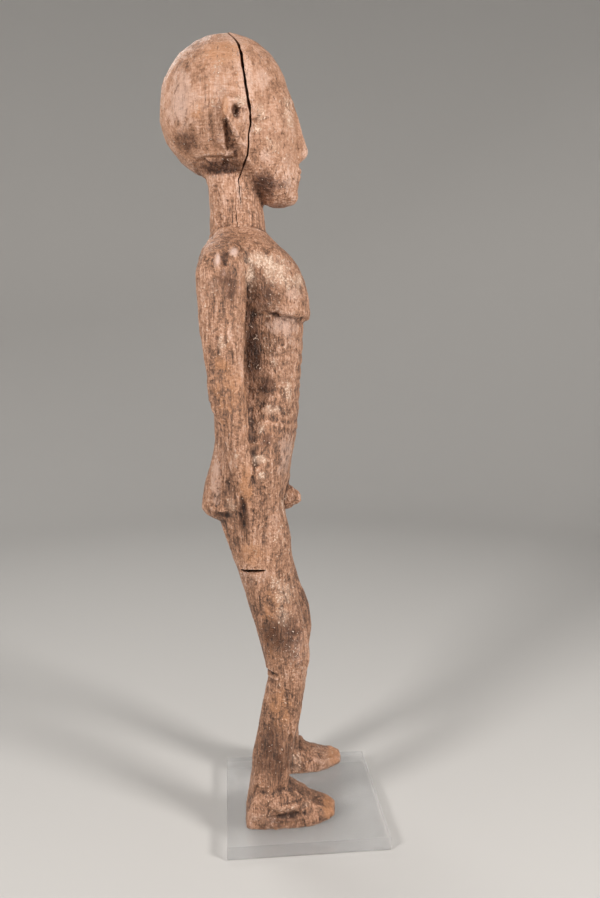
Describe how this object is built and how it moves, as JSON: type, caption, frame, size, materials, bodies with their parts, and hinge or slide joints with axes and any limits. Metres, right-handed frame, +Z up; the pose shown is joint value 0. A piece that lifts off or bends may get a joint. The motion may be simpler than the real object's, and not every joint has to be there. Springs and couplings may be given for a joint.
{
  "type": "ancestor figure",
  "caption": "Standing Lobi ancestor figure carved from one length of wood, arms at its sides, knees bent, on a square clear acrylic plate.",
  "frame": {"origin": "centre of the plate's underside", "axes": "+Z up, the figure faces -Y, its right side is -X"},
  "size_m": [0.1737, 0.2046, 0.7417],
  "materials": {
    "wood": "weathered and dry, with traces of pale clay",
    "acrylic": "clear, slightly frosted"
  },
  "bodies": {
    "root": {"figure": "wood", "base_plate": "acrylic"}
  },
  "joints": []
}
